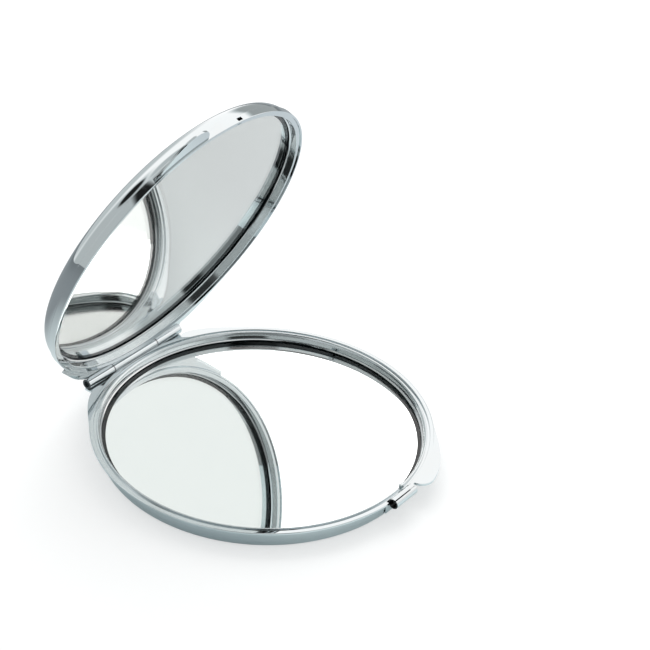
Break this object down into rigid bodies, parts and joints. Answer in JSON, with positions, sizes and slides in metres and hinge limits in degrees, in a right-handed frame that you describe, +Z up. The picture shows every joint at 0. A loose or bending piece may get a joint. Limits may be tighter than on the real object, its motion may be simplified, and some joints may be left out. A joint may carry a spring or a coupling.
{
  "type": "compact mirror",
  "caption": "Round pocket mirror case in bright chrome, lid hinged open over the base, a glass in each half, with a rolled thumb clasp at the front.",
  "frame": {"origin": "middle of the flat underside of the base", "axes": "+Z up through the base's glass, +Y from the clasp to the hinge, +X to the right with the clasp in front"},
  "size_m": [0.064, 0.0691, 0.0658],
  "materials": {
    "chrome_plate": "bright polished plate",
    "chrome_bezel": "bright, pressed trim",
    "silvered_glass": "clear float glass silvered on the back",
    "spring_steel": "drawn wire and strip",
    "greyboard": "pressed greyboard",
    "adhesive_foam": "matt foam tape",
    "backing_film": "matt paint and film",
    "adhesive_film": "transfer tape"
  },
  "bodies": {
    "base": {"base_shell": "chrome_plate", "base_liner": "greyboard", "base_mirror_pad": "adhesive_foam", "base_safety_film": "backing_film", "base_mirror": "silvered_glass", "base_bezel": "chrome_bezel", "base_frame": "chrome_plate", "base_hinge_leaf": "chrome_plate", "hinge_pin": "spring_steel", "clasp_spring": "spring_steel"},
    "clasp": {"clasp_roll": "chrome_plate", "clasp_hook": "chrome_plate"},
    "lid": {"lid_shell": "chrome_plate", "lid_mirror_pad": "adhesive_foam", "lid_safety_film": "backing_film", "lid_mirror": "silvered_glass", "lid_bezel": "chrome_bezel", "lid_frame": "chrome_plate", "lid_hinge_leaf": "chrome_plate", "lid_face_adhesive": "adhesive_film", "lid_face_plate": "chrome_plate"}
  },
  "joints": [
    {"name": "lid_hinge", "type": "hinge", "parent": "base", "child": "lid", "pos_m": [0, 0.03255, 0.0045], "axis": [-1, 0, 0], "range_deg": [-68.5, 56.5]},
    {"name": "clasp_press", "type": "slide", "parent": "base", "child": "clasp", "axis": [0, 1, 0], "range_m": [0, 0.0002], "stiffness_N_per_m": 3000, "springref_m": -0.0002}
  ]
}
